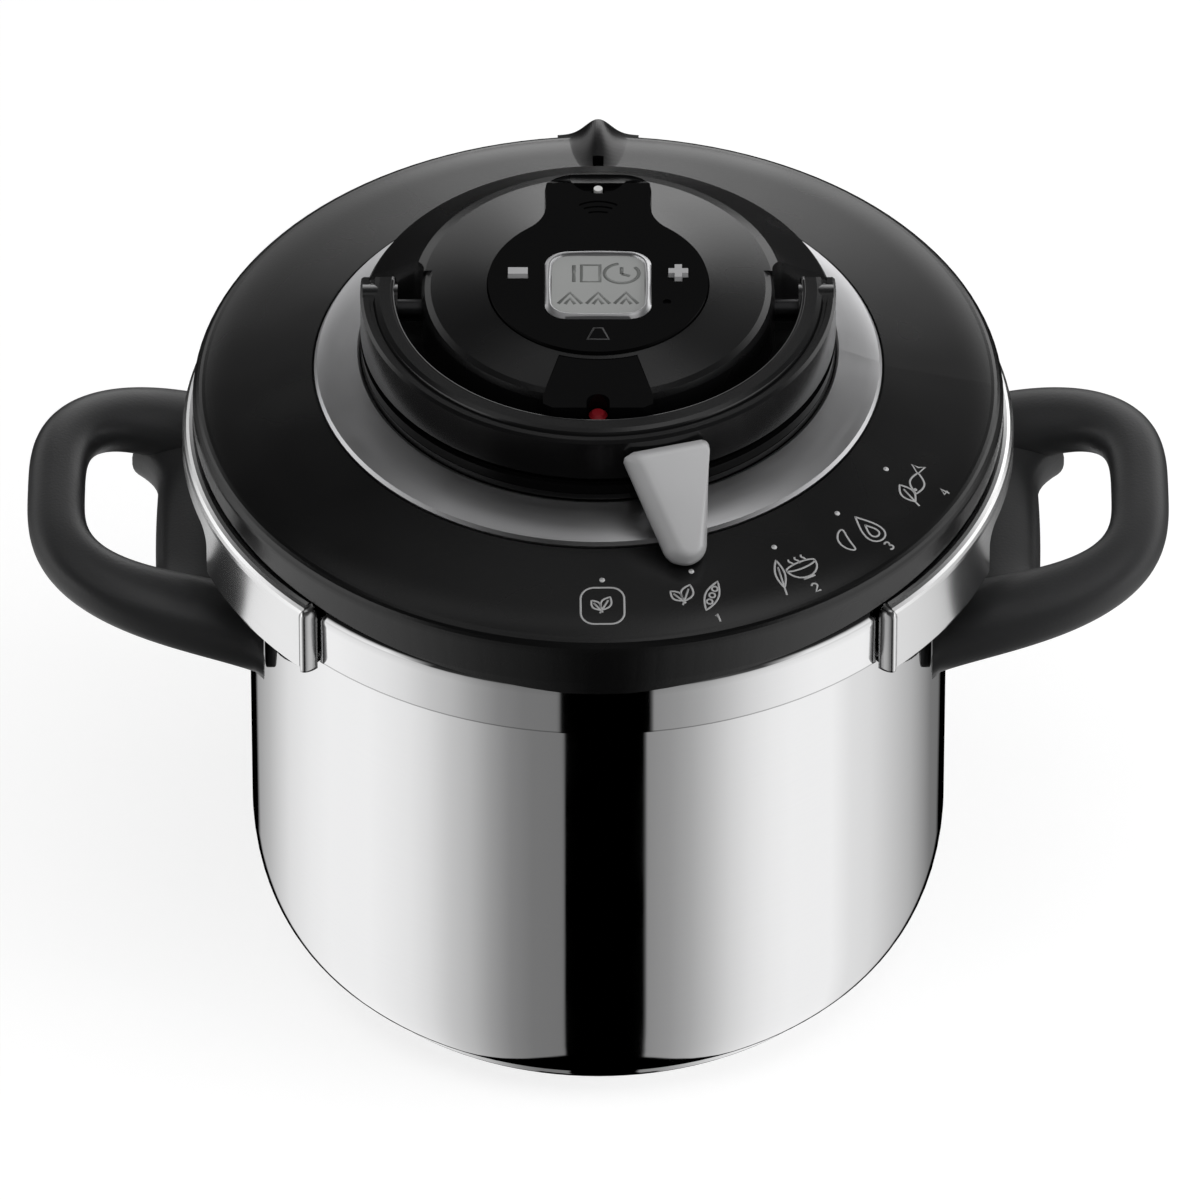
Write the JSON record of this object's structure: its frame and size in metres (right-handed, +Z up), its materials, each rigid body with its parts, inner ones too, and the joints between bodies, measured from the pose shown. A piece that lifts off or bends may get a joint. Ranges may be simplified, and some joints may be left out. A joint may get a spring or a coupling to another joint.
{
  "type": "pressure cooker",
  "caption": "Stovetop pressure cooker in polished steel with a clamp lid, fold-down arch handle, program lever and lift-off timer",
  "frame": {"origin": "centre of the pot's base, on the surface that it stands on", "axes": "+X to the right handle, +Y to the back, +Z up; the program lever is at the front, towards -Y"},
  "size_m": [0.3632, 0.256, 0.2528],
  "materials": {
    "polished_steel": "mirror polished",
    "brushed_steel": "satin",
    "core_aluminium": "plain",
    "satin_black": "fine satin",
    "gloss_black": "gloss",
    "handle_black": "soft satin",
    "satin_silver": "satin",
    "silver_plastic": "satin",
    "seal_rubber": "matte",
    "brass": "plain",
    "red_plastic": "satin",
    "white_plastic": "gloss",
    "board_green": "matte",
    "display_glass": "clear",
    "dark_steel": "satin"
  },
  "bodies": {
    "pot": {"pot_body": "polished_steel", "base_core": "core_aluminium", "base_tray": "polished_steel", "handle_left": "handle_black", "handle_right": "handle_black", "bracket_left": "dark_steel", "bracket_right": "dark_steel", "handle_screws": "brushed_steel"},
    "lid": {"lid_dish": "polished_steel", "lid_seal": "seal_rubber", "cover": "satin_black", "trim_ring": "satin_silver", "cover_screws": "brushed_steel", "guide_plate": "brushed_steel", "column": "core_aluminium", "center_bolt": "brushed_steel", "center_nut": "brushed_steel", "drum_deck": "satin_black", "dome": "satin_black", "dome_screws": "brushed_steel", "pin_guard": "gloss_black", "pin_bush": "brass", "valve_body": "brass", "valve_cap": "brass", "valve_spring": "brushed_steel", "steam_duct": "satin_black", "safety_body": "brass", "safety_spring": "brushed_steel", "safety_ball": "polished_steel", "sensor_pin": "white_plastic"},
    "jaw_l": {"jaw_left": "polished_steel", "arm_left": "brushed_steel", "rivets_left": "brushed_steel"},
    "jaw_r": {"jaw_right": "polished_steel", "arm_right": "brushed_steel", "rivets_right": "brushed_steel"},
    "arch_handle": {"bail": "satin_black", "bail_cams": "dark_steel"},
    "selector": {"selector_collar": "gloss_black", "selector_lever": "silver_plastic"},
    "timer": {"timer_case": "gloss_black", "timer_back": "satin_black", "timer_board": "board_green", "timer_cell": "polished_steel", "cell_door": "satin_black", "lcd_panel": "display_glass", "timer_frame": "silver_plastic", "timer_lens": "display_glass"},
    "minus_key": {"minus_button": "silver_plastic"},
    "plus_key": {"plus_button": "silver_plastic"},
    "pressure_pin": {"red_pin": "red_plastic"},
    "working_valve": {"valve_stem": "brushed_steel"}
  },
  "joints": [
    {"name": "lid_lift", "type": "slide", "parent": "pot", "child": "lid", "axis": [0, 0, 1], "range_m": [0, 0.15]},
    {"name": "arch_fold", "type": "hinge", "parent": "lid", "child": "arch_handle", "pos_m": [0, 0, 0.2396], "axis": [-1, 0, 0], "range_deg": [0, 90]},
    {"name": "jaw_left_slide", "type": "slide", "parent": "lid", "child": "jaw_l", "axis": [-1, 0, 0], "range_m": [0, 0.012]},
    {"name": "jaw_right_slide", "type": "slide", "parent": "lid", "child": "jaw_r", "axis": [1, 0, 0], "range_m": [0, 0.012]},
    {"name": "program_turn", "type": "hinge", "parent": "lid", "child": "selector", "pos_m": [0, 0, 0.2286], "axis": [0, 0, 1], "range_deg": [-15.5, 46.5]},
    {"name": "timer_lift", "type": "slide", "parent": "lid", "child": "timer", "axis": [0, 0, 1], "range_m": [0, 0.03]},
    {"name": "minus_press", "type": "slide", "parent": "timer", "child": "minus_key", "axis": [0, 0, -1], "range_m": [0, 0.0005], "stiffness_N_per_m": 800, "springref_m": -0.0004},
    {"name": "plus_press", "type": "slide", "parent": "timer", "child": "plus_key", "axis": [0, 0, -1], "range_m": [0, 0.0005], "stiffness_N_per_m": 800, "springref_m": -0.0004},
    {"name": "pressure_pin_rise", "type": "slide", "parent": "lid", "child": "pressure_pin", "axis": [0, 0, 1], "range_m": [0, 0.003]},
    {"name": "valve_lift", "type": "slide", "parent": "lid", "child": "working_valve", "axis": [0, 0, 1], "range_m": [0, 0.0015], "stiffness_N_per_m": 2500, "springref_m": -0.001, "deforming": ["valve_spring"]}
  ],
  "couplings": [
    {"joint": "jaw_left_slide", "follows": "arch_fold", "m_per_rad": 0.0076394},
    {"joint": "jaw_right_slide", "follows": "arch_fold", "m_per_rad": 0.0076394}
  ]
}
